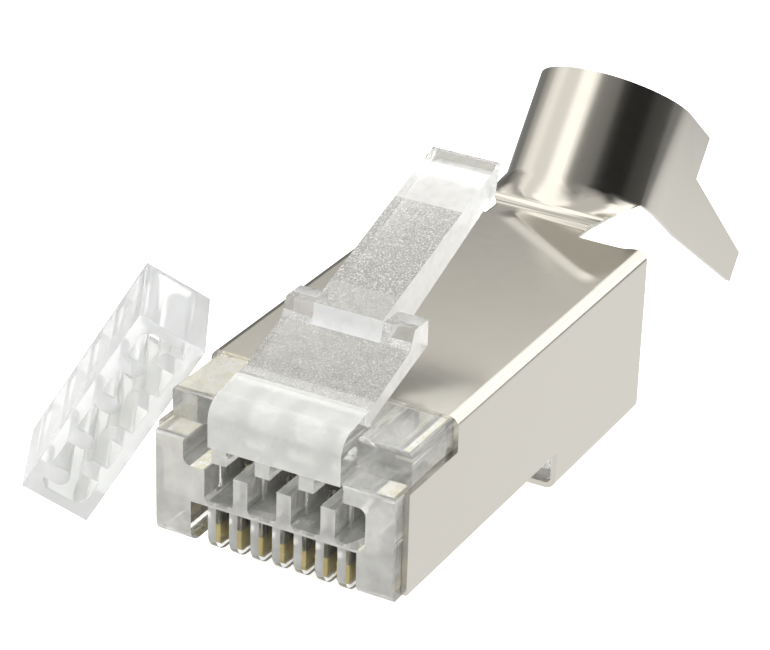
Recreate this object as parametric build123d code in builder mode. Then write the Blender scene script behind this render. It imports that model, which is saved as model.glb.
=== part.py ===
from build123d import *
import os
from math import cos, radians, sin

# Shielded eight-contact modular plug for network cable, in millimetres.
# X runs across the plug, Y from the mating face at zero back to the cable end, Z up.
# The floor of the shield lies on Z = 0, the latch is on top and the contacts face down.

# Contacts
contact_pitch = 1.016
contact_count = 8
blade_thick = 0.35
blade_length = 3.90
blade_front = 1.45          # mating face to the front edge of each blade
blade_bottom = 1.25         # lower edge, a little above the tips of the ribs
blade_nose_round = 0.28
blade_heel_round = 0.30
prong_count = 3
prong_depth = 0.70
shank_step = 0.22           # the shank above the ribs is narrower by this at each end
seat_gap = 0.02             # pressed and folded fits
overrun = 0.50              # how far cutting shapes run past the faces that they cut

# Housing
rib_thick = 0.38
rib_setback = 0.30          # the ribs stand behind the mating face
rib_floor = 1.20            # the ribs reach a little lower than the cheeks beside them
rib_round = 0.88
comb_depth = 6.20           # length of the slots between the ribs
comb_top = 3.60
nose_floor = 1.58
nose_round = 0.64
ledge_z = 6.50              # top of the nose beside the latch root
upper_face = 1.30           # front of the upper body, behind the ledge
body_top = 7.90
body_rear = 21.90
edge_round = 0.18
tunnel_width = 1.36
tunnel_height = 1.98
tunnel_round = 0.36
lower_tunnel_floor = 3.70
upper_tunnel_floor = 5.25
upper_tunnel_top = 6.57

# Wire guide and its cavity in the housing
guide_width = 9.65
guide_height = 3.18
guide_depth = 4.99
guide_play = 0.07
guide_edge = 0.25
guide_slot_width = 2.10
guide_slot_length = 8.62
guide_slot_round = 0.50
guide_tooth_width = 0.80
guide_tooth_reach = 0.62
guide_front = 6.90          # front of the cavity that the guide slides into
funnel_length = 3.00
mouth_width = 10.10
mouth_floor = 1.55
mouth_top = 7.20

# Shield sheet
sheet = 0.25
shield_width = 11.64
shield_top = 8.06
shield_rear = 22.90
shield_front = 4.69         # front edge of the top wall
tongue_front = 0.67         # front edge of the side walls below the ledge
side_floor = 1.87           # lower edge of the side walls beside the contacts
belly_front = 14.35         # where the shield drops to its full depth
corner_round = 0.50
seam = 0.12

# Neck and crimp collar, bent up from the rear of the top wall
neck_width = 4.70
neck_bend_y = 24.37
neck_bend_radius = 0.55
collar_angle = 51.0
collar_radius = 3.83
collar_leg = 3.35
flare_start = 0.36
collar_start = 1.87
strap_end = 4.95
collar_end = 7.04
flare_angle = 65.0
strap_length = 6.73
strap_tip_width = 1.55
strap_spread = 7.5

# Latch and its root
latch_width = 6.02
root_width = 6.14
root_floor = 6.35
root_face_top = 7.55
root_crown_y = 1.05
root_crown_z = 8.49
hinge_y = 2.30
hinge_z = 8.38
hinge_radius = 0.36
hinge_gap = 0.03
hinge_lean = 17.0
crease_y = 2.87
crease_z = 8.85
grip_y = 5.65
grip_z = 9.86
shoulder_front = 5.98
shoulder_back = 7.15
shoulder_z = 10.67
shoulder_bottom = 9.49
tab_width = 3.22
tab_front = 5.82
tab_front_z = 10.80
tab_end = 16.50
tab_end_z = 14.23
tab_heel_y = 8.48
tab_heel_z = 9.89
tab_tip_y = 16.10
tab_tip_z = 12.87
tab_round = 0.42

# The wire guide as it stands beside the plug, on one lower edge, leaning on the plug
guide_foot_x = -10.05
guide_foot_y = 1.46
guide_heading = 29.7
guide_lean = 31.8

# Worked-out sizes
half_body = shield_width / 2 - sheet - seat_gap
covered_top = shield_top - sheet - seat_gap
covered_floor = sheet + seat_gap
slot_width = contact_pitch - rib_thick
comb_width = contact_pitch * (contact_count - 1) + slot_width
blade_middle = blade_front + blade_length / 2
half_count = contact_count // 2
row_pitch = 2 * contact_pitch
guide_rear = guide_front + guide_depth + guide_play
cavity_width = guide_width + 2 * guide_play
cavity_height = guide_height + 2 * guide_play
cavity_middle = lower_tunnel_floor + cavity_height / 2
lower_tunnel_middle = lower_tunnel_floor + tunnel_height / 2
upper_tunnel_height = upper_tunnel_top - upper_tunnel_floor
upper_tunnel_middle = upper_tunnel_floor + upper_tunnel_height / 2


def facing(y):
    """Plane across the plug at depth y, seen from the front, with X right and Z up."""
    return Plane(origin=(0, y, 0), x_dir=(1, 0, 0), z_dir=(0, -1, 0))


def ridge(edges, y, z):
    """The edges along X whose middle lies at (y, z)."""
    near = seat_gap / 2
    return edges.filter_by(Axis.X).filter_by(
        lambda e: abs(e.center().Y - y) < near and abs(e.center().Z - z) < near
    )


def rail(edges, x, z):
    """The edges along Y whose middle lies at height z and at x or minus x."""
    near = seat_gap / 2
    return edges.filter_by(Axis.Y).filter_by(
        lambda e: abs(abs(e.center().X) - x) < near and abs(e.center().Z - z) < near
    )


# Housing: one clear moulding with the comb, the wire tunnels, the guide cavity and the latch root
with BuildPart() as housing:
    # Front, middle and deep rear lengths of the body as seen from the front: start, end, floor, top
    for start, end, floor, top in (
        (0, shield_front - seat_gap, nose_floor, body_top),
        (shield_front - seat_gap, belly_front + sheet, nose_floor, covered_top),
        (belly_front + sheet, body_rear, covered_floor, covered_top),
    ):
        with BuildSketch(facing(start)):
            with Locations((0, (floor + top) / 2)):
                RectangleRounded(2 * half_body, top - floor, corner_round - sheet)
        extrude(amount=start - end)
    # The nose is rounded below, and the ledge beside the latch root is cut in above
    nose_middle = (nose_floor + ledge_z) / 2
    upper_middle = (ledge_z + body_top) / 2
    with BuildSketch(Plane.YZ):
        with BuildLine():
            FilletPolyline((belly_front, nose_floor), (0, nose_floor), (0, nose_middle), radius=nose_round)
            FilletPolyline((0, nose_middle), (0, ledge_z), (upper_face / 2, ledge_z), radius=edge_round)
            Polyline((upper_face / 2, ledge_z), (upper_face, ledge_z), (upper_face, upper_middle))
            FilletPolyline(
                (upper_face, upper_middle),
                (upper_face, body_top),
                (belly_front, body_top),
                radius=edge_round,
            )
            Polyline(
                (belly_front, body_top),
                (body_rear, body_top),
                (body_rear, 0),
                (belly_front, 0),
                (belly_front, nose_floor),
            )
        make_face()
    extrude(amount=shield_width, both=True, mode=Mode.INTERSECT)

    # The comb: its ribs stand a little behind the mating face, reach below the cheeks and have round feet
    with BuildSketch(Plane.XY.offset(rib_floor)):
        with Locations((0, comb_depth)):
            Rectangle(comb_width, comb_depth, align=(Align.CENTER, Align.MAX))
    extrude(amount=comb_top - rib_floor)
    with BuildSketch(Plane.YZ):
        with BuildLine():
            FilletPolyline(
                (rib_setback, comb_top),
                (rib_setback, rib_floor),
                (comb_depth, rib_floor),
                radius=rib_round,
            )
            Polyline(
                (comb_depth, rib_floor),
                (comb_depth, -overrun),
                (-overrun, -overrun),
                (-overrun, comb_top),
                (rib_setback, comb_top),
            )
        make_face()
    extrude(amount=comb_width / 2, both=True, mode=Mode.SUBTRACT)
    with BuildSketch(Plane.XY.offset(comb_top)):
        with Locations((0, (comb_depth - overrun) / 2)):
            with GridLocations(contact_pitch, 0, contact_count, 1):
                Rectangle(slot_width, comb_depth + overrun)
    extrude(amount=-comb_top, mode=Mode.SUBTRACT)

    # Narrow seats that hold the blades, up to the tunnel above each of them
    for index in range(contact_count):
        seat_x = (index - (contact_count - 1) / 2) * contact_pitch
        seat_top = lower_tunnel_middle if index % 2 else upper_tunnel_middle
        with BuildSketch(Plane.XY.offset(seat_top)):
            with Locations((seat_x, blade_middle)):
                Rectangle(blade_thick + 2 * seat_gap, blade_length + 2 * seat_gap)
        extrude(amount=-(seat_top - comb_top + seat_gap), mode=Mode.SUBTRACT)

    # Two staggered rows of wire tunnels, open through the mating face
    with BuildSketch(facing(-overrun)):
        with Locations((contact_pitch / 2, lower_tunnel_middle)):
            with GridLocations(row_pitch, 0, half_count, 1):
                RectangleRounded(tunnel_width, tunnel_height, tunnel_round)
        with Locations((-contact_pitch / 2, upper_tunnel_middle)):
            with GridLocations(row_pitch, 0, half_count, 1):
                RectangleRounded(tunnel_width, upper_tunnel_height, tunnel_round)
    extrude(amount=-(overrun + guide_front + seat_gap), mode=Mode.SUBTRACT)

    # Cavity for the wire guide, then a funnel out to the cable end
    with BuildSketch(facing(guide_front)):
        with Locations((0, cavity_middle)):
            RectangleRounded(cavity_width, cavity_height, guide_edge)
    extrude(amount=-(guide_rear - guide_front + seat_gap), mode=Mode.SUBTRACT)
    with BuildSketch(facing(guide_rear)):
        with Locations((0, cavity_middle)):
            RectangleRounded(cavity_width, cavity_height, guide_edge)
    with BuildSketch(facing(guide_rear + funnel_length)):
        with Locations((0, (mouth_floor + mouth_top) / 2)):
            RectangleRounded(mouth_width, mouth_top - mouth_floor, guide_edge)
    loft(mode=Mode.SUBTRACT)
    with BuildSketch(facing(guide_rear + funnel_length)):
        with Locations((0, (mouth_floor + mouth_top) / 2)):
            RectangleRounded(mouth_width, mouth_top - mouth_floor, guide_edge)
    extrude(amount=guide_rear + funnel_length - body_rear - overrun, mode=Mode.SUBTRACT)

    # Latch root: a rounded hump flush with the mating face, ending in the seat of the hinge
    lip = hinge_radius + hinge_gap
    lip_y = lip * sin(radians(hinge_lean))
    lip_z = lip * cos(radians(hinge_lean))
    with BuildSketch(Plane.YZ):
        with BuildLine():
            Line((0, root_floor), (0, root_face_top))
            TangentArc((0, root_face_top), (root_crown_y, root_crown_z), tangent=(0, 1))
            Polyline(
                (root_crown_y, root_crown_z),
                (hinge_y - lip_y, hinge_z + lip_z),
                (hinge_y + lip_y, hinge_z - lip_z),
                (hinge_y + lip_y, root_floor),
                (0, root_floor),
            )
        make_face()
        with Locations((hinge_y, hinge_z)):
            Circle(lip, mode=Mode.SUBTRACT)
    extrude(amount=root_width / 2, both=True)
housing.part.label = "housing"
export_step(housing.part, "parts/housing.step")


# Latch: the same clear plastic, a wide plate with catch shoulders and a narrow finger tab
with BuildPart() as latch:
    knuckle_y = hinge_radius * sin(radians(hinge_lean))
    knuckle_z = hinge_radius * cos(radians(hinge_lean))
    with BuildSketch(Plane.YZ):
        with BuildLine():
            Polyline(
                (hinge_y - knuckle_y, hinge_z + knuckle_z),
                (crease_y, crease_z),
                (grip_y, grip_z),
                (shoulder_front, shoulder_z),
                (shoulder_back, shoulder_z),
                (shoulder_back, shoulder_bottom),
                (hinge_y + knuckle_y, hinge_z - knuckle_z),
                close=True,
            )
        make_face()
        with Locations((hinge_y, hinge_z)):
            Circle(hinge_radius)
    extrude(amount=latch_width / 2, both=True)
    with BuildSketch(Plane.YZ):
        with BuildLine():
            Polyline(
                (tab_front, shoulder_bottom),
                (tab_front, tab_front_z),
                (tab_end, tab_end_z),
                (tab_tip_y, tab_tip_z),
                (tab_heel_y, tab_heel_z),
                (shoulder_back, shoulder_bottom),
                close=True,
            )
        make_face()
    extrude(amount=tab_width / 2, both=True)
    fillet(ridge(latch.edges(), tab_end, tab_end_z), radius=tab_round)
    fillet(ridge(latch.edges(), tab_tip_y, tab_tip_z), radius=tab_round)
latch.part.label = "latch"
export_step(latch.part, "parts/latch.step")


def blade(index):
    """One gold-plated contact blade: rounded lower corners, narrower shank, pointed prongs."""
    x = (index - (contact_count - 1) / 2) * contact_pitch
    tip_z = lower_tunnel_middle if index % 2 else upper_tunnel_middle
    shank_front = blade_front + shank_step
    prong = (blade_length - 2 * shank_step) / prong_count
    prongs = []
    for step in range(prong_count):
        tip_y = shank_front + (step + 1 / 2) * prong
        prongs += [(tip_y - prong / 2, tip_z - prong_depth), (tip_y, tip_z)]
    with BuildPart() as contact:
        with BuildSketch(Plane.YZ.offset(x)) as outline:
            with BuildLine():
                Polyline(
                    (blade_front, blade_bottom),
                    (blade_front, comb_top),
                    (shank_front, comb_top),
                    *prongs,
                    (shank_front + prong_count * prong, tip_z - prong_depth),
                    (shank_front + prong_count * prong, comb_top),
                    (blade_front + blade_length, comb_top),
                    (blade_front + blade_length, blade_bottom),
                    close=True,
                )
            make_face()
            low = outline.vertices().group_by(Axis.Y)[0].sort_by(Axis.X)
            fillet(low[0], radius=blade_nose_round)
            fillet(low[-1], radius=blade_heel_round)
        extrude(amount=blade_thick / 2, both=True)
    return contact.part


for index in range(contact_count):
    contact = blade(index)
    contact.label = f"contact_{index + 1}"
    export_step(contact, f"parts/contact_{index + 1}.step")


# Shield: one sheet folded round the housing, with a neck and a crimp collar bent up behind
rise = collar_angle
axis_dir = Vector(0, cos(radians(rise)), sin(radians(rise)))
rear_dir = Vector(0, sin(radians(rise)), -cos(radians(rise)))
bend_point = Vector(0, neck_bend_y, shield_top)


def collar_plane(s):
    """Plane across the collar at s along it, X right, Y towards its hollow side."""
    return Plane(origin=bend_point + axis_dir * s, x_dir=(1, 0, 0), z_dir=axis_dir)


with BuildPart() as shield:
    with BuildSketch(facing(tongue_front)):
        with Locations((0, shield_top / 2)):
            RectangleRounded(shield_width, shield_top, corner_round)
            RectangleRounded(
                shield_width - 2 * sheet, shield_top - 2 * sheet, corner_round - sheet, mode=Mode.SUBTRACT
            )
    extrude(amount=-(shield_rear - tongue_front))
    # The top wall starts behind the latch root and the floor only at the deep rear part
    with BuildSketch(Plane.YZ):
        with Locations((shield_front, ledge_z)):
            Rectangle(shield_front + overrun, shield_top, align=(Align.MAX, Align.MIN))
        with Locations((0, side_floor)):
            Rectangle(belly_front, side_floor + overrun, align=(Align.MIN, Align.MAX))
    extrude(amount=shield_width, both=True, mode=Mode.SUBTRACT)
    # The two floor flaps meet at a seam
    with BuildSketch(Plane.XY.offset(sheet + overrun)):
        with Locations((0, (belly_front + shield_rear) / 2)):
            Rectangle(seam, shield_rear)
    extrude(amount=-(sheet + 2 * overrun), mode=Mode.SUBTRACT)

    # Neck: a strip of the top wall carried past the rear edge and bent up
    mid = shield_top - sheet / 2
    tilt = radians(rise)
    neck_reach = flare_start + seat_gap
    with BuildSketch(Plane.YZ):
        with BuildLine():
            FilletPolyline(
                (shield_rear - sheet, mid),
                (neck_bend_y + sheet / 2 * sin(tilt) / (1 + cos(tilt)), mid),
                (
                    neck_bend_y + sheet / 2 * sin(tilt) + neck_reach * cos(tilt),
                    shield_top - sheet / 2 * cos(tilt) + neck_reach * sin(tilt),
                ),
                radius=neck_bend_radius + sheet / 2,
            )
        trace(line_width=sheet)
    extrude(amount=neck_width / 2, both=True)

    # Flare from the flat neck to the round back of the collar
    bend = radians(flare_angle)
    inner_radius = collar_radius - sheet
    with BuildSketch(collar_plane(flare_start)):
        with Locations((0, sheet / 2)):
            Rectangle(neck_width, sheet)
    with BuildSketch(collar_plane(collar_start)):
        with BuildLine():
            CenterArc((0, collar_radius), collar_radius, -90 - flare_angle, 2 * flare_angle)
            CenterArc((0, collar_radius), inner_radius, -90 - flare_angle, 2 * flare_angle)
            for side in (-1, 1):
                Line(
                    (side * collar_radius * sin(bend), collar_radius - collar_radius * cos(bend)),
                    (side * inner_radius * sin(bend), collar_radius - inner_radius * cos(bend)),
                )
        make_face()
    loft()

    # Collar: half a round with straight legs
    leg_end = collar_radius + collar_leg
    mid_radius = collar_radius - sheet / 2
    with BuildSketch(collar_plane(collar_start)):
        with BuildLine():
            Line((-mid_radius, leg_end), (-mid_radius, collar_radius))
            CenterArc((0, collar_radius), mid_radius, 180, 180)
            Line((mid_radius, collar_radius), (mid_radius, leg_end))
        trace(line_width=sheet)
    extrude(amount=collar_end - collar_start)

    # Crimp straps: tapered tails of the legs that fold round the cable
    for side in (-1, 1):
        spread = radians(strap_spread)
        tail_dir = rear_dir * cos(spread) + Vector(side * sin(spread), 0, 0)
        root = bend_point + rear_dir * (leg_end - sheet) + Vector(side * mid_radius, 0, 0)
        tail_plane = Plane(origin=root, x_dir=axis_dir, z_dir=axis_dir.cross(tail_dir))
        with BuildSketch(tail_plane) as tail:
            with BuildLine():
                Polyline(
                    (collar_start, 0),
                    (strap_end, 0),
                    (collar_start + strap_tip_width, strap_length + sheet),
                    (collar_start, strap_length + sheet),
                    close=True,
                )
            make_face()
        extrude(amount=sheet / 2, both=True)
shield.part.label = "shield"
export_step(shield.part, "parts/shield.step")


# Wire guide: a clear bar with a toothed slot that sorts the wires into two staggered rows
heading = radians(guide_heading)
lean = radians(guide_lean)
across = Vector(cos(heading) * cos(lean), sin(heading) * cos(lean), -sin(lean))
toward = Vector(sin(heading), -cos(heading), 0)
guide_plane = Plane(origin=(guide_foot_x, guide_foot_y, 0), x_dir=across, z_dir=toward)
with BuildPart() as wire_guide:
    with BuildSketch(guide_plane):
        with Locations((-guide_height / 2, guide_width / 2)):
            Rectangle(guide_height, guide_width)
            RectangleRounded(guide_slot_width, guide_slot_length, guide_slot_round, mode=Mode.SUBTRACT)
        for side in (-1, 1):
            tooth_x = -guide_height / 2 + side * (guide_slot_width - guide_tooth_reach) / 2
            shift = side * contact_pitch / 2
            with Locations((tooth_x, guide_width / 2 + shift)):
                with GridLocations(0, row_pitch, 1, half_count):
                    SlotOverall(guide_tooth_reach + guide_tooth_width, guide_tooth_width)
    extrude(amount=-guide_depth)
wire_guide.part.label = "load_bar"
export_step(wire_guide.part, "parts/load_bar.step")
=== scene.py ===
"""Shielded modular plug with its loose wire guide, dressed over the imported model.

Named sizes and places are in millimetres unless a line says otherwise. Times MM they are metres.
"""

import bmesh
import bpy
import numpy as np
from mathutils import Matrix, Vector


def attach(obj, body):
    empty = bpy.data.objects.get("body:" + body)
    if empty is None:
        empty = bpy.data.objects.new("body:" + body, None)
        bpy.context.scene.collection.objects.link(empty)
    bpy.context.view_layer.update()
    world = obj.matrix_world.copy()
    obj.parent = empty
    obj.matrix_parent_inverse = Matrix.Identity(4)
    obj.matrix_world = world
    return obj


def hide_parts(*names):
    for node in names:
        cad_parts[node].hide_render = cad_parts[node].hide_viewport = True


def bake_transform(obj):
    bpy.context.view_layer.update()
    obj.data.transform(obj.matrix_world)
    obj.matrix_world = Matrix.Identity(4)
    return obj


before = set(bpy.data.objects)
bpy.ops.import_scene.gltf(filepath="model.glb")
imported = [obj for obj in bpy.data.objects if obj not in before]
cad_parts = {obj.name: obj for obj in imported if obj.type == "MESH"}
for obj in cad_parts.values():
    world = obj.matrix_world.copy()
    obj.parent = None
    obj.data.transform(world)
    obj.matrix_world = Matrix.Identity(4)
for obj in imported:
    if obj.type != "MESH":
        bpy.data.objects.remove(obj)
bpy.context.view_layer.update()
scene = bpy.context.scene
scene.view_settings.view_transform = "Standard"
MM = 0.001


# Camera. It stands in front of the plug, to the right and above, with a long lens.
# Its place, turn and lens were fitted to the edges of the plug in the photograph.
CAMERA_EYE = (51.44, -87.05, 63.83)
CAMERA_AZIMUTH = np.radians(28.16)
CAMERA_ELEVATION = np.radians(26.79)
CAMERA_ROLL = np.radians(1.75)
SENSOR = 36.0
FOCAL_PIXELS = 2923.45
PHOTO_WIDTH = 770
NEAREST, FURTHEST = 10, 20000

ahead = Vector((
    -np.sin(CAMERA_AZIMUTH) * np.cos(CAMERA_ELEVATION),
    np.cos(CAMERA_AZIMUTH) * np.cos(CAMERA_ELEVATION),
    -np.sin(CAMERA_ELEVATION),
))
level_right = ahead.cross(Vector((0, 0, 1))).normalized()
level_up = level_right.cross(ahead)
image_right = level_right * np.cos(CAMERA_ROLL) + level_up * np.sin(CAMERA_ROLL)
image_up = -level_right * np.sin(CAMERA_ROLL) + level_up * np.cos(CAMERA_ROLL)
camera_data = bpy.data.cameras.new("camera")
camera_data.sensor_fit = "HORIZONTAL"
camera_data.sensor_width = SENSOR
camera_data.lens = FOCAL_PIXELS * SENSOR / PHOTO_WIDTH
camera_data.clip_start = NEAREST * MM
camera_data.clip_end = FURTHEST * MM
camera = bpy.data.objects.new("camera", camera_data)
turn = Matrix((image_right, image_up, -ahead)).transposed().to_4x4()
camera.matrix_world = Matrix.Translation(Vector(CAMERA_EYE) * MM) @ turn
scene.collection.objects.link(camera)
scene.camera = camera


# Housing with its latch: one injection moulding of clear polycarbonate, pushed into the shield.
# The real latch bends at its root above the mating face; here it is united with the housing
# and stays still. Parts of the mould were polished, and others were spark-eroded, and each face
# of the plug still shows which.
def colour(hex_value):
    """sRGB hex to linear RGBA.

    Each channel c from 0 to 1 becomes c / 12.92 up to 0.04045, and above that
    ((c + 0.055) / 1.055) to the power 2.4.
    """
    c = np.array([int(hex_value[i:i + 2], 16) for i in (0, 2, 4)]) / 255
    return tuple(np.where(c <= 0.04045, c / 12.92, ((c + 0.055) / 1.055) ** 2.4)) + (1.0,)


def add(tree, kind, settings, links):
    """Adds a node with its settings, and sets or links each of its inputs."""
    node = tree.nodes.new(kind)
    for name, value in settings.items():
        setattr(node, name, value)
    for name, value in links.items():
        if isinstance(value, bpy.types.NodeSocket):
            tree.links.new(value, node.inputs[name])
        else:
            node.inputs[name].default_value = value
    return node


def new_material(name):
    """An empty node material, its node tree and its output node."""
    material = bpy.data.materials.new(name)
    material.use_nodes = True
    material.node_tree.nodes.clear()
    output = material.node_tree.nodes.new("ShaderNodeOutputMaterial")
    return material, material.node_tree, output


POLYCARBONATE_IOR = 1.58
GRIT_LAYERS = 3.0
# Pale colour of the speckle: the grit's haze, and painted glints and reflections where the
# speckle is strong
GRIT_AND_PAINTED_GLINT_COLOUR = "ECECEA"
SHADOW_TINT = (0.9, 0.9, 0.88, 1)


def moulded_clear(
        name, tint, roughness, milk, speckle, grit_size, grit_depth, spread=(0.48, 0.62)):
    """Clear moulded plastic over grit of a given size and depth in millimetres.

    The share milk of the light is scattered by the tinted body, and the rest passes. Where the
    noise lies above the spread, the share speckle is scattered too, in a pale colour. Part of
    this is the grit's own haze, and part is painted: the pale spots are painted glints on the
    eroded skins, and painted reflections on the mating face and the latch's right sides.
    """
    material, tree, output = new_material(name)
    where = add(tree, "ShaderNodeTexCoord", {}, {})
    grit = add(tree, "ShaderNodeTexNoise", {}, {
        "Vector": where.outputs["Object"], "Scale": 1 / (grit_size * MM), "Detail": GRIT_LAYERS})
    uneven = add(tree, "ShaderNodeBump", {}, {
        "Strength": 1.0, "Distance": grit_depth * MM, "Height": grit.outputs[0]})
    glint = add(tree, "ShaderNodeMapRange", {}, {
        "Value": grit.outputs[0], "From Min": spread[0], "From Max": spread[1]})
    passing = add(tree, "ShaderNodeMapRange", {}, {
        "Value": glint.outputs[0], "To Min": 1 - milk, "To Max": 1 - milk - speckle})
    body = add(tree, "ShaderNodeMix", {"data_type": "RGBA"}, {
        0: glint.outputs[0], 6: colour(tint), 7: colour(GRIT_AND_PAINTED_GLINT_COLOUR)})
    surface = add(tree, "ShaderNodeBsdfPrincipled", {}, {
        "Base Color": body.outputs[2], "Roughness": roughness, "IOR": POLYCARBONATE_IOR,
        "Transmission Weight": passing.outputs[0], "Normal": uneven.outputs[0],
    })
    path = add(tree, "ShaderNodeLightPath", {}, {})
    passed = add(tree, "ShaderNodeBsdfTransparent", {}, {"Color": SHADOW_TINT})
    lit = add(tree, "ShaderNodeMixShader", {}, {
        0: path.outputs["Is Shadow Ray"], 1: surface.outputs[0], 2: passed.outputs[0]})
    tree.links.new(lit.outputs[0], output.inputs["Surface"])
    return material


# Plain mould faces: the eye looks in, past faint milky clouds about 1 mm across.
clear = moulded_clear(
    "clear_polycarbonate", "F6F6F3", 0.05, milk=0.17, speckle=0.14,
    grit_size=1.1, grit_depth=0.004, spread=(0.38, 0.68))
# Blasted mould on the latch's root: a soft white skin that hides what is behind it.
matt = moulded_clear(
    "matt_polycarbonate", "F9F9F7", 0.3, milk=0.42, speckle=0.12, grit_size=0.7, grit_depth=0.01)
# Spark-eroded mould under the latch, seen through the latch's clear top: pale under the wide
# plate, and darker under the tab, where the grey of the second copy is painted shade. Its silvery
# sparkle is the bumps together with pale spots of painted glints. The real grit is about 0.02 mm.
# It is drawn at 0.075 to 0.08 mm, because finer grit doesn't show in the render.
eroded = moulded_clear(
    "eroded_polycarbonate", "C4C4C1", 0.2, milk=0.1, speckle=0.3,
    grit_size=0.075, grit_depth=0.022)
# Under the tab: the same eroded face in a darker grey, which is painted shade
gritty_painted_shade = moulded_clear(
    "gritty_polycarbonate_painted_shade", "A0A09D", 0.25, milk=0.08, speckle=0.4,
    grit_size=0.08, grit_depth=0.025)
# Polished mould: nearly all light passes, which keeps the latch's top and the ribs' walls bright.
polished = moulded_clear(
    "polished_polycarbonate", "FAFAF8", 0.03, milk=0.05, speckle=0,
    grit_size=0.5, grit_depth=0.002)
# Finely frosted mould: an even, glowing white on the latch's step and on the pad under its tip.
frosted = moulded_clear(
    "frosted_polycarbonate", "F3F3F5", 0.15, milk=0.6, speckle=0,
    grit_size=0.4, grit_depth=0.004)
# Feet of the ribs: clear, with a warm gold tint that is a painted reflection of the contacts
# beside them.
gold_painted_reflection = moulded_clear(
    "rib_foot_polycarbonate", "CFC492", 0.06, milk=0.25, speckle=0,
    grit_size=0.4, grit_depth=0.002)
# Mating face and the latch's right sides: soft mottled clouds of pale speckle, which are painted
# reflections from inside the plastic.
mottled_painted_reflections = moulded_clear(
    "polycarbonate_painted_reflections", "F7F6F3", 0.1, milk=0.34, speckle=0.16,
    grit_size=0.9, grit_depth=0.01, spread=(0.35, 0.7))

DOUBLED = 0.001
STILL_FLAT = np.radians(0.5)


def whole_copy(name, node_name):
    """A new object with a CAD node's mesh, its doubled points merged and its flat faces whole."""
    shape = bmesh.new()
    shape.from_mesh(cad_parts[node_name].data)
    bmesh.ops.remove_doubles(shape, verts=shape.verts, dist=DOUBLED * MM)
    bmesh.ops.dissolve_limit(
        shape, angle_limit=STILL_FLAT, verts=shape.verts, edges=shape.edges)
    mesh = bpy.data.meshes.new(name)
    shape.to_mesh(mesh)
    shape.free()
    piece = bpy.data.objects.new(name, mesh)
    scene.collection.objects.link(piece)
    return piece


def combine(piece, other, operation):
    """Unites another closed piece with this one, or takes it away, and removes the other."""
    step = piece.modifiers.new("step", "BOOLEAN")
    step.operation = operation
    step.solver = "EXACT"
    step.object = other
    graph = bpy.context.evaluated_depsgraph_get()
    result = bpy.data.meshes.new_from_object(piece.evaluated_get(graph))
    piece.modifiers.clear()
    piece.data = result
    bpy.data.objects.remove(other)


def closed_prism(name, ring, far_ring):
    """A closed solid between two rings of points in millimetres, with one wall for each point."""
    count = len(ring)
    here = np.arange(count)
    after = (here + 1) % count
    walls = np.stack([here, after, count + after, count + here], 1)
    mesh = bpy.data.meshes.new(name)
    mesh.from_pydata(
        (np.concatenate([ring, far_ring]) * MM).tolist(), [],
        [here[::-1].tolist(), (count + here).tolist()] + walls.tolist())
    shape = bmesh.new()
    shape.from_mesh(mesh)
    bmesh.ops.recalc_face_normals(shape, faces=shape.faces)
    shape.to_mesh(mesh)
    shape.free()
    piece = bpy.data.objects.new(name, mesh)
    scene.collection.objects.link(piece)
    return piece


HINGE = (2.30, 8.38)
KNUCKLE_RADIUS = 0.42
KNUCKLE_HALF = 3.0
KNUCKLE_SIDES = 32
moulding = whole_copy("clear_moulding", "housing")
combine(moulding, whole_copy("latch_copy", "latch"), "UNION")
angles = np.arange(KNUCKLE_SIDES) * 2 * np.pi / KNUCKLE_SIDES
ring = np.stack([
    np.full(KNUCKLE_SIDES, KNUCKLE_HALF),
    HINGE[0] + KNUCKLE_RADIUS * np.cos(angles),
    HINGE[1] + KNUCKLE_RADIUS * np.sin(angles),
], 1)
combine(moulding, closed_prism("knuckle_fill", ring * (-1, 1, 1), ring), "UNION")

# The latch's tip is rounded at both corners: each wedge takes away what lies outside a quarter
# circle, along the slant of the end face.
TAB_HALF = 1.61
TIP_END = (16.5, 14.23)
TIP_SLANT = 0.294
CORNER_ROUND = 0.45
CORNER_POINTS = 7
OVERRUN = 0.3
WEDGE_HEIGHTS = (12.3, 14.7)
quarter = np.linspace(0, np.pi / 2, CORNER_POINTS)
wedge = np.concatenate([
    CORNER_ROUND * np.stack([np.cos(quarter) - 1, np.sin(quarter) - 1], 1),
    [(-CORNER_ROUND, OVERRUN), (OVERRUN, OVERRUN), (OVERRUN, -CORNER_ROUND)],
])
for side in (-1, 1):
    layers = [np.stack([
        side * (TAB_HALF + wedge[:, 0]),
        TIP_END[0] + wedge[:, 1] + TIP_SLANT * (z - TIP_END[1]),
        np.full(len(wedge), z),
    ], 1) for z in WEDGE_HEIGHTS]
    combine(moulding, closed_prism("tip_wedge", *layers), "DIFFERENCE")

ON_PLANE = 0.0001


def cut_across(shape, faces, axis, place):
    """Cuts faces of a bmesh where the coordinate on one axis is place, and returns them all."""
    spot, facing = np.zeros(3), np.zeros(3)
    spot[axis], facing[axis] = place * MM, 1.0
    borders = dict.fromkeys(edge for face in faces for edge in face.edges)
    corners = dict.fromkeys(vert for face in faces for vert in face.verts)
    cut = bmesh.ops.bisect_plane(
        shape, geom=[*faces, *borders, *corners], plane_co=spot, plane_no=facing,
        dist=ON_PLANE * MM)
    return [item for item in cut["geom"] if isinstance(item, bmesh.types.BMFace)]


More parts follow.
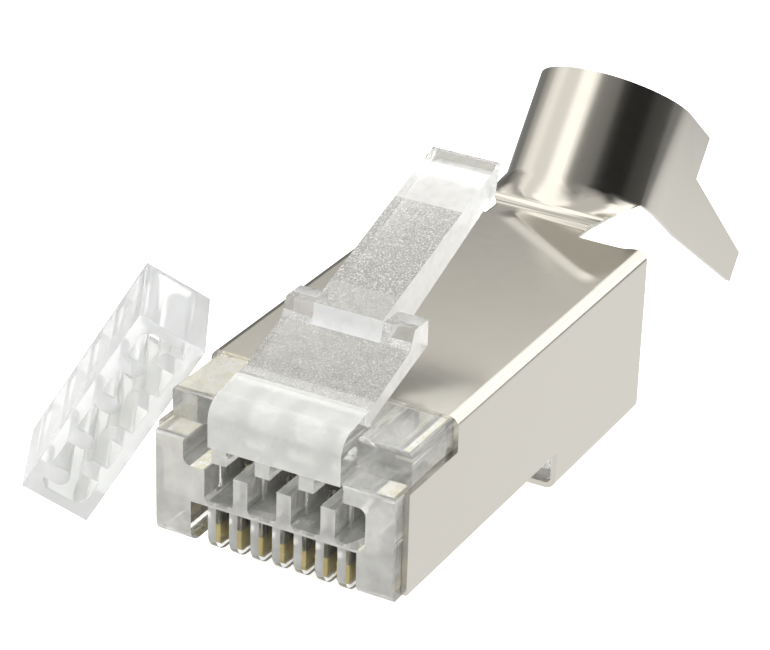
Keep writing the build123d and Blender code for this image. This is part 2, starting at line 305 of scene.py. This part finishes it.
# How far a face is turned, as one part of its outward direction: right, back and up are positive
SIDEWAYS = 0.5
SLIGHTLY_UP, SLIGHTLY_DOWN, DOWN = 0.1, -0.35, -0.5
FORWARD, MOSTLY_FORWARD, STRAIGHT_FORWARD = -0.5, -0.6, -0.7
STEP_FLOOR = 9.3
TAB_FLOOR = 9.0
TIP_PAD_FRONT = 13.6
shape = bmesh.new()
shape.from_mesh(moulding.data)
for side in (-1, 1):
    step_front = [face for face in shape.faces if face.normal.y < MOSTLY_FORWARD
                  and face.calc_center_median().z > STEP_FLOOR * MM]
    cut_across(shape, step_front, 0, side * TAB_HALF)
tab_underside = [face for face in shape.faces if face.normal.z < DOWN
                 and face.calc_center_median().z > TAB_FLOOR * MM]
cut_across(shape, tab_underside, 1, TIP_PAD_FRONT)
shape.to_mesh(moulding.data)
shape.free()


def coat(piece, *materials):
    """Gives a piece these materials, with the first one on all of its faces."""
    piece.data.materials.clear()
    for material in materials:
        piece.data.materials.append(material)
    piece.data.polygons.foreach_set("material_index", [0] * len(piece.data.polygons))


def directions_and_middles(piece):
    """Every face's outward direction and its middle in millimetres, in three columns each."""
    faces = piece.data.polygons
    directions, middles = np.empty(3 * len(faces)), np.empty(3 * len(faces))
    faces.foreach_get("normal", directions)
    faces.foreach_get("center", middles)
    return directions.reshape(-1, 3), middles.reshape(-1, 3) / MM


# Where each kind of mould face lies: half widths from the middle, depths from the mating face
# and heights
ROOT_HALF, ROOT_REAR, ROOT_FLOOR = 3.1, 2.25, 6.6
LATCH_FRONT, LATCH_FLOOR, PLATE_REAR = 2.5, 8.2, 7.0
COMB_HALF, COMB_REAR, COMB_TOP, RIB_FOOT_TOP = 4.3, 6.2, 3.6, 2.2
FACE_REAR, FACE_TOP = 0.6, 6.5
CLEAR, MATT, ERODED, GRITTY_PAINTED_SHADE, POLISHED, FROSTED, GOLD_PAINTED_REFLECTION, MOTTLED_PAINTED_REFLECTIONS = range(8)
coat(moulding, clear, matt, eroded, gritty_painted_shade, polished, frosted, gold_painted_reflection, mottled_painted_reflections)
toward, middle = directions_and_middles(moulding)
off_middle, depth, height = np.abs(middle[:, 0]), middle[:, 1], middle[:, 2]
sideways = np.abs(toward[:, 0]) > SIDEWAYS
skin = np.full(len(toward), CLEAR)
on_root = (off_middle < ROOT_HALF) & (depth < ROOT_REAR) & (height > ROOT_FLOOR)
skin[on_root & ~sideways & ((toward[:, 2] > SLIGHTLY_UP) | (toward[:, 1] < FORWARD))] = MATT
on_latch = (depth > LATCH_FRONT) & (height > LATCH_FLOOR)
under_latch = on_latch & (toward[:, 2] < DOWN)
skin[on_latch] = POLISHED
# Under the tab the eroded face takes the darker copy, whose grey is painted shade
skin[under_latch] = np.where(depth[under_latch] < PLATE_REAR, ERODED, GRITTY_PAINTED_SHADE)
skin[on_latch & (toward[:, 1] < MOSTLY_FORWARD) & (off_middle < TAB_HALF)] = FROSTED
skin[under_latch & (depth > TIP_PAD_FRONT)] = FROSTED
# The latch's right sides take the mottled skin of painted reflections
skin[on_latch & (toward[:, 0] > SIDEWAYS)] = MOTTLED_PAINTED_REFLECTIONS
in_comb = (off_middle < COMB_HALF) & (depth < COMB_REAR) & (height < COMB_TOP)
skin[in_comb & sideways] = POLISHED
# The mating face takes the mottled skin of painted reflections
skin[(depth < FACE_REAR) & (height < FACE_TOP) & (toward[:, 1] < STRAIGHT_FORWARD)] = MOTTLED_PAINTED_REFLECTIONS
# The ribs' feet take the gold tint, a painted reflection of the contacts
skin[in_comb & (height < RIB_FOOT_TOP) & (toward[:, 2] < SLIGHTLY_DOWN)] = GOLD_PAINTED_REFLECTION
moulding.data.polygons.foreach_set("material_index", skin.tolist())

EDGE_STEPS = 2
SHARP = np.radians(35)
FACE_AREA_ONLY = 100


def round_edges(piece, width):
    """Rounds a piece's sharp edges over a width in millimetres, and shades the rest smoothly."""
    piece.data.shade_smooth()
    bevel = piece.modifiers.new("edges", "BEVEL")
    bevel.width = width * MM
    bevel.segments = EDGE_STEPS
    bevel.limit_method = "ANGLE"
    bevel.angle_limit = SHARP
    bevel.use_clamp_overlap = True
    bevel.miter_outer = "MITER_ARC"
    evened = piece.modifiers.new("even_shading", "WEIGHTED_NORMAL")
    evened.mode = "FACE_AREA"
    evened.weight = FACE_AREA_ONLY


MOULDED_EDGE = 0.05
round_edges(moulding, MOULDED_EDGE)
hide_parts("housing", "latch")
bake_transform(moulding)


# Wire guide, also called a load bar: a second clear polycarbonate moulding, with a toothed slot
# that holds the wires in two staggered rows. It is loose, and leans on the plug's top left edge.
# Its evenly milky plastic looks like water with a drop of milk, white where it is thick.
GUIDE_EDGE = 0.07
clear_guide = moulded_clear(
    "water_clear_polycarbonate", "EBECED", 0.1, milk=0.45, speckle=0,
    grit_size=0.5, grit_depth=0.001)
guide = whole_copy("wire_guide", "load_bar")
coat(guide, clear_guide)
round_edges(guide, GUIDE_EDGE)
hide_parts("load_bar")
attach(guide, "plug")


# Contacts: eight blades stamped from phosphor bronze and pressed into the comb. They are plated
# with nickel all over, and with hard gold on the feet, which touch the jack. The gold is a dull
# yellow. The nickel above it is drawn in upright streaks from the stamping, between pale nickel
# and a near-black grey that is painted shade from the comb's slots.
GOLD = "BDAD74"
GOLD_TOP = 2.15
GOLD_FADE = 0.04
WEAR_SIZE = 0.4
WEAR_LAYERS = 4.0
GOLD_ROUGHNESS = (0.22, 0.38)
# The darker nickel is painted shade from the comb's slots, mixed in streaks with the pale one
NICKEL_PAINTED_SHADE, PALE_NICKEL = "45423A", "A09C90"
STREAK_SIZE = 0.12
STREAK_SHORTENING = 0.12
STREAK_LAYERS = 3.0
STREAK_SPREAD = (0.42, 0.6)
gold, tree, output = new_material("hard_gold_plate")
where = add(tree, "ShaderNodeTexCoord", {}, {})
wear = add(tree, "ShaderNodeTexNoise", {}, {
    "Vector": where.outputs["Object"], "Scale": 1 / (WEAR_SIZE * MM), "Detail": WEAR_LAYERS})
sheen = add(tree, "ShaderNodeMapRange", {}, {
    "Value": wear.outputs[0], "To Min": GOLD_ROUGHNESS[0], "To Max": GOLD_ROUGHNESS[1]})
drawn_up = add(tree, "ShaderNodeMapping", {}, {
    "Vector": where.outputs["Object"], "Scale": (1, 1, STREAK_SHORTENING)})
streak = add(tree, "ShaderNodeTexNoise", {}, {
    "Vector": drawn_up.outputs[0], "Scale": 1 / (STREAK_SIZE * MM), "Detail": STREAK_LAYERS})
streak_share = add(tree, "ShaderNodeMapRange", {}, {
    "Value": streak.outputs[0], "From Min": STREAK_SPREAD[0], "From Max": STREAK_SPREAD[1]})
# Upright streaks between pale nickel and the dark painted shade
grey = add(tree, "ShaderNodeMix", {"data_type": "RGBA"}, {
    0: streak_share.outputs[0], 6: colour(NICKEL_PAINTED_SHADE), 7: colour(PALE_NICKEL)})
place = add(tree, "ShaderNodeSeparateXYZ", {}, {0: where.outputs["Object"]})
above = add(tree, "ShaderNodeMapRange", {}, {
    "Value": place.outputs[2],
    "From Min": (GOLD_TOP - GOLD_FADE) * MM, "From Max": (GOLD_TOP + GOLD_FADE) * MM})
plating = add(tree, "ShaderNodeMix", {"data_type": "RGBA"}, {
    0: above.outputs[0], 6: colour(GOLD), 7: grey.outputs[2]})
surface = add(tree, "ShaderNodeBsdfPrincipled", {}, {
    "Base Color": plating.outputs[2], "Metallic": 1.0, "Roughness": sheen.outputs[0],
})
tree.links.new(surface.outputs[0], output.inputs["Surface"])


def spots_of(piece):
    """Every vertex of a piece in millimetres, in three columns."""
    spots = np.empty(3 * len(piece.data.vertices))
    piece.data.vertices.foreach_get("co", spots)
    return spots.reshape(-1, 3) / MM


def move_spots(piece, spots):
    """Puts every vertex of a piece at its row of spots, in millimetres."""
    piece.data.vertices.foreach_set("co", (spots * MM).ravel())
    piece.data.update()


# Before crimping, the blades' feet stand as low as the ribs' feet, and their front edges stand
# further forward than the shanks. What lies below or in front of these places is moved.
CONTACTS = 8
FOOT_DROP = 0.12
FOOT_LINE = 1.6
FRONT_SHIFT = 0.35
FRONT_TOP = 3.65
FRONT_LINE = 1.6
BLADE_EDGE = 0.03
for position in range(1, CONTACTS + 1):
    blade = whole_copy(f"contact_blade_{position}", f"contact_{position}")
    coat(blade, gold)
    spots = spots_of(blade)
    on_foot = spots[:, 2] < FOOT_LINE
    on_front = (spots[:, 2] < FRONT_TOP) & (spots[:, 1] < FRONT_LINE)
    spots[on_foot, 2] -= FOOT_DROP
    spots[on_front, 1] -= FRONT_SHIFT
    move_spots(blade, spots)
    round_edges(blade, BLADE_EDGE)
    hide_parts(f"contact_{position}")
    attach(blade, "plug")


# Shield: one sheet of copper alloy, blanked, nickel-plated and folded round the housing.
# The rolled sheet mirrors the room softly, a little warmer than steel. Bending the collar up left
# a crease across the rear right corner of the top, and a shallow dip behind it.
NICKEL = "D3D0C8"
ROLLING_SIZE = 0.6
ROLLING_LAYERS = 4.0
NICKEL_ROUGHNESS = (0.12, 0.2)
nickel, tree, output = new_material("bright_nickel_plate")
where = add(tree, "ShaderNodeTexCoord", {}, {})
rolled = add(tree, "ShaderNodeTexNoise", {}, {
    "Vector": where.outputs["Object"], "Scale": 1 / (ROLLING_SIZE * MM),
    "Detail": ROLLING_LAYERS})
sheen = add(tree, "ShaderNodeMapRange", {}, {
    "Value": rolled.outputs[0], "To Min": NICKEL_ROUGHNESS[0], "To Max": NICKEL_ROUGHNESS[1]})
surface = add(tree, "ShaderNodeBsdfPrincipled", {}, {
    "Base Color": colour(NICKEL), "Metallic": 1.0, "Roughness": sheen.outputs[0],
})
tree.links.new(surface.outputs[0], output.inputs["Surface"])


def smooth(t):
    """Smooth step from 0 to 1: t squared times (3 - 2t), with t held between 0 and 1."""
    t = np.clip(t, 0, 1)
    return t * t * (3 - 2 * t)


CREASE_START = (-1.3, 23.4)
ACROSS_CREASE = (0.561, 0.828)
CREASE_LENGTH = 8.2
RIDGE, RIDGE_RISE = 0.045, 0.8
DIP, DIP_FALL = 0.12, 2.4
START_FADE, START_LEAD, END_FADE = 0.9, 0.3, 1.6
FOLD_SIDE, FOLD_FADE = 5.3, 0.9
NECK_REAR, NECK_FADE = 24.05, 0.3


def crease_height(x, y):
    """Height of the creased top over the flat one.

    behind is the distance past the crease's line, and along the distance from its start on the
    neck. The sheet rises by RIDGE in a smooth step just before the line, and behind the line it
    falls along a parabola to DIP below the flat. The crease fades out at both of its ends, and
    towards the rounded fold and the bend of the neck.
    """
    right, back = x - CREASE_START[0], y - CREASE_START[1]
    behind = ACROSS_CREASE[0] * right + ACROSS_CREASE[1] * back
    along = ACROSS_CREASE[1] * right - ACROSS_CREASE[0] * back
    past = np.clip(behind / DIP_FALL, 0, 1)
    profile = RIDGE * smooth(behind / RIDGE_RISE + 1) - (RIDGE + DIP) * past * (2 - past)
    ends = smooth((along + START_LEAD) / START_FADE) * smooth((CREASE_LENGTH - along) / END_FADE)
    borders = smooth((FOLD_SIDE - x) / FOLD_FADE) * smooth((NECK_REAR - y) / NECK_FADE)
    return profile * ends * borders


NECK_BEND = (24.467, 7.98)
COLLAR_ANGLE = np.radians(51)
BEND_START, FLARE_START, COLLAR_START = -0.26, 0.36, 1.87
FLARE_SPREAD = 0.24


def flare_share(y, z):
    """How much of its extra width the neck has at a place, from 0 to 1.

    rise is the distance up the slanting collar from the neck's bend. The share grows evenly from
    0 at BEND_START to 1 at FLARE_START, and falls evenly to 0 at COLLAR_START.
    """
    rise = (y - NECK_BEND[0]) * np.cos(COLLAR_ANGLE) + (z - NECK_BEND[1]) * np.sin(COLLAR_ANGLE)
    growing = (rise - BEND_START) / (FLARE_START - BEND_START)
    shrinking = (COLLAR_START - rise) / (COLLAR_START - FLARE_START)
    return np.clip(np.minimum(growing, shrinking), 0, 1)


# Only the creased part of the top is cut into small faces, so that the rest stays a true flat.
# On its underside only the strip behind the housing, which is open to view, follows the crease.
TOP = 8.06
SHEET = 0.25
LEVEL = 0.99
ABOVE_MIDDLE = 0.3
NEARLY = 0.02
CREASE_FRONT, CREASE_REAR = 18.3, 24.1
CREASE_LEFT, CREASE_RIGHT = -2.4, 5.3
CREASE_STEP = 0.15
OPEN_STRIP = (22.0, 22.95)
SHEET_EDGE = 0.04
sheet = whole_copy("folded_shield", "shield")
shape = bmesh.new()
shape.from_mesh(sheet.data)
top = [face for face in shape.faces if abs(face.normal.z) > LEVEL
       and face.calc_center_median().z > (TOP - ABOVE_MIDDLE) * MM]
for stop in np.arange(CREASE_FRONT, CREASE_REAR, CREASE_STEP):
    top = cut_across(shape, top, 1, stop)
rear = [face for face in top if face.calc_center_median().y > CREASE_FRONT * MM]
for stop in np.arange(CREASE_LEFT, CREASE_RIGHT, CREASE_STEP):
    rear = cut_across(shape, rear, 0, stop)
shape.to_mesh(sheet.data)
shape.free()
spots = spots_of(sheet)
x, y, z = spots.T.copy()
on_top = (z > TOP - NEARLY) & (y < CREASE_REAR)
on_strip = (z > TOP - SHEET - NEARLY) & (y > OPEN_STRIP[0]) & (y < OPEN_STRIP[1])
spots[:, 2] += np.where(on_top | on_strip, crease_height(x, y), 0)
spots[:, 0] *= 1 + FLARE_SPREAD * flare_share(y, z)
move_spots(sheet, spots)
coat(sheet, nickel)
round_edges(sheet, SHEET_EDGE)
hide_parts("shield")
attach(sheet, "plug")


# Table: a white sheet under the plug. It is white to the eye, but in the shield's mirror it is
# bright only beside the plug, and fades to grey further off, as the photograph's metal shows.
def ray_kinds(tree):
    """Two shares: of rays that see the white background, and of rays that a mirror throws.

    The background is seen straight from the camera or through clear plastic. A mirror counts only
    where no clear plastic lies before it.
    """
    path = add(tree, "ShaderNodeLightPath", {}, {})
    seen = add(tree, "ShaderNodeMath", {"operation": "MAXIMUM"}, {
        0: path.outputs["Is Camera Ray"], 1: path.outputs["Is Transmission Ray"]})
    through = add(tree, "ShaderNodeMath", {"operation": "MINIMUM"}, {
        0: path.outputs["Transmission Depth"], 1: 1.0})
    bare = add(tree, "ShaderNodeMath", {"operation": "SUBTRACT"}, {0: 1.0, 1: through.outputs[0]})
    thrown = add(tree, "ShaderNodeMath", {"operation": "MULTIPLY"}, {
        0: path.outputs["Is Glossy Ray"], 1: bare.outputs[0]})
    return seen.outputs[0], thrown.outputs[0]


TABLE_HALF = 600
TABLE_DROP = 0.02
TABLE_WHITE, TABLE_GLARE = "F2F2F0", "FDFCFA"
TABLE_GLOW = 0.85
POOL_MIDDLE = (25, 10)
POOL_NEAR, POOL_FAR = 30, 75
POOL_LEVEL, FAR_LEVEL = 0.98, 0.25
table_mesh = bpy.data.meshes.new("table")
table_mesh.from_pydata(
    [(x * TABLE_HALF * MM, y * TABLE_HALF * MM, -TABLE_DROP * MM)
     for x, y in ((-1, -1), (1, -1), (1, 1), (-1, 1))],
    [], [(0, 1, 2, 3)],
)
table = bpy.data.objects.new("table", table_mesh)
scene.collection.objects.link(table)
white_table, tree, output = new_material("white_table")
seen, thrown = ray_kinds(tree)
where = add(tree, "ShaderNodeTexCoord", {}, {})
from_pool = add(tree, "ShaderNodeVectorMath", {"operation": "DISTANCE"}, {
    0: where.outputs["Object"], 1: (POOL_MIDDLE[0] * MM, POOL_MIDDLE[1] * MM, 0)})
fade = add(tree, "ShaderNodeMapRange", {"interpolation_type": "SMOOTHSTEP"}, {
    "Value": from_pool.outputs["Value"], "From Min": POOL_NEAR * MM, "From Max": POOL_FAR * MM,
    "To Min": POOL_LEVEL, "To Max": FAR_LEVEL})
mirrored = add(tree, "ShaderNodeEmission", {}, {
    "Color": colour(TABLE_GLARE), "Strength": fade.outputs[0]})
glow = add(tree, "ShaderNodeEmission", {}, {"Color": (1, 1, 1, 1), "Strength": TABLE_GLOW})
plain_white = add(tree, "ShaderNodeBsdfDiffuse", {}, {"Color": colour(TABLE_WHITE)})
lit = add(tree, "ShaderNodeAddShader", {}, {0: glow.outputs[0], 1: plain_white.outputs[0]})
to_eye = add(tree, "ShaderNodeMixShader", {}, {
    0: seen, 1: plain_white.outputs[0], 2: lit.outputs[0]})
in_all = add(tree, "ShaderNodeMixShader", {}, {
    0: thrown, 1: to_eye.outputs[0], 2: mirrored.outputs[0]})
tree.links.new(in_all.outputs[0], output.inputs["Surface"])
table_mesh.materials.append(white_table)


# Studio round the plug: white behind it to the eye, even light on it, and for the shield's mirror
# a room with soft boxes to the left and behind, and dark to the front and right.
# Each pair of ROOM is degrees clockwise from straight behind, and brightness there.
ROOM = (
    (-180, 0.28), (-168, 0.4), (-160, 1.1), (-150, 1.7), (-130, 1.7), (-122, 1.05), (-105, 1.05),
    (-95, 1.3), (-85, 1.1), (-78, 0.6), (-70, 0.45), (-45, 0.5), (-28, 0.75), (0, 0.9), (15, 1.5),
    (30, 1.9), (42, 1.6), (55, 0.4), (70, 0.1), (90, 0.07), (98, 0.02), (125, 0.02), (138, 0.07),
    (150, 0.22), (165, 0.26), (180, 0.28),
)
BRIGHTEST = 2.0
ROOM_COLOUR = "FDFBF6"
# Behind and to the left, the room is dimmed below a height and brightened above it
LOW_HEIGHT, HIGH_HEIGHT = 0.36, 0.58
LOW_FACTOR, HIGH_FACTOR = 0.35, 2.0
GRADED_FROM = np.radians((-75, -50))
GRADED_TO = np.radians((2, 18))
OVERHEAD_FROM, OVERHEAD_TO, OVERHEAD_LEVEL = 0.82, 0.95, 0.75
EVEN_LIGHT = 0.8
world = bpy.data.worlds.new("studio")
scene.world = world
world.use_nodes = True
tree = world.node_tree
tree.nodes.clear()
output = tree.nodes.new("ShaderNodeOutputWorld")
seen, thrown = ray_kinds(tree)
way = add(tree, "ShaderNodeTexCoord", {}, {})
parts = add(tree, "ShaderNodeSeparateXYZ", {}, {0: way.outputs["Generated"]})
round_angle = add(tree, "ShaderNodeMath", {"operation": "ARCTAN2"}, {
    0: parts.outputs[0], 1: parts.outputs[1]})
turn_share = add(tree, "ShaderNodeMapRange", {}, {
    "Value": round_angle.outputs[0], "From Min": -np.pi, "From Max": np.pi})
room = add(tree, "ShaderNodeFloatCurve", {}, {"Value": turn_share.outputs[0]})
curve = room.mapping.curves[0]
for index, (angle, strength) in enumerate(ROOM):
    spot = ((angle + 180) / 360, strength / BRIGHTEST)
    if index < 2:
        curve.points[index].location = spot
    else:
        curve.points.new(*spot)
for point in curve.points:
    point.handle_type = "VECTOR"
room.mapping.update()
level = add(tree, "ShaderNodeMath", {"operation": "MULTIPLY"}, {
    0: room.outputs[0], 1: BRIGHTEST})
by_height = add(tree, "ShaderNodeMapRange", {"interpolation_type": "SMOOTHSTEP"}, {
    "Value": parts.outputs[2], "From Min": LOW_HEIGHT, "From Max": HIGH_HEIGHT,
    "To Min": LOW_FACTOR, "To Max": HIGH_FACTOR})
from_left = add(tree, "ShaderNodeMapRange", {"interpolation_type": "SMOOTHSTEP"}, {
    "Value": round_angle.outputs[0], "From Min": GRADED_FROM[0], "From Max": GRADED_FROM[1]})
to_right = add(tree, "ShaderNodeMapRange", {"interpolation_type": "SMOOTHSTEP"}, {
    "Value": round_angle.outputs[0], "From Min": GRADED_TO[0], "From Max": GRADED_TO[1],
    "To Min": 1.0, "To Max": 0.0})
graded_share = add(tree, "ShaderNodeMath", {"operation": "MULTIPLY"}, {
    0: from_left.outputs[0], 1: to_right.outputs[0]})
graded = add(tree, "ShaderNodeMath", {"operation": "MULTIPLY"}, {
    0: level.outputs[0], 1: by_height.outputs[0]})
level = add(tree, "ShaderNodeMix", {}, {
    0: graded_share.outputs[0], 2: level.outputs[0], 3: graded.outputs[0]})
overhead = add(tree, "ShaderNodeMapRange", {"interpolation_type": "SMOOTHSTEP"}, {
    "Value": parts.outputs[2], "From Min": OVERHEAD_FROM, "From Max": OVERHEAD_TO})
level = add(tree, "ShaderNodeMix", {}, {
    0: overhead.outputs[0], 2: level.outputs[0], 3: OVERHEAD_LEVEL})
mirrored = add(tree, "ShaderNodeBackground", {}, {
    "Color": colour(ROOM_COLOUR), "Strength": level.outputs[0]})
even = add(tree, "ShaderNodeBackground", {}, {"Color": (1, 1, 1, 1), "Strength": EVEN_LIGHT})
white = add(tree, "ShaderNodeBackground", {}, {"Color": (1, 1, 1, 1), "Strength": 1.0})
to_plug = add(tree, "ShaderNodeMixShader", {}, {
    0: thrown, 1: even.outputs[0], 2: mirrored.outputs[0]})
in_all = add(tree, "ShaderNodeMixShader", {}, {
    0: seen, 1: to_plug.outputs[0], 2: white.outputs[0]})
tree.links.new(in_all.outputs[0], output.inputs["Surface"])


# Lamps: two large soft boxes, to the left and above. The shield's mirror and the clear plastic
# don't see them, because the room above already holds their bright patches.
def soft_box(name, place, width, power):
    """A square lamp at a place, turned to the plug, with its power in watts."""
    data = bpy.data.lights.new(name, "AREA")
    data.size = width * MM
    data.energy = power
    box = bpy.data.objects.new(name, data)
    box.location = Vector(place) * MM
    aim = Vector(PLUG_MIDDLE) - Vector(place)
    box.rotation_euler = aim.to_track_quat("-Z", "Y").to_euler()
    box.visible_glossy = False
    box.visible_transmission = False
    scene.collection.objects.link(box)


PLUG_MIDDLE = (0, 12, 4)
BOX_POWER = 0.6
soft_box("left_box", (-250, -80, 200), 150, BOX_POWER)
soft_box("top_box", (100, 100, 350), 200, BOX_POWER)
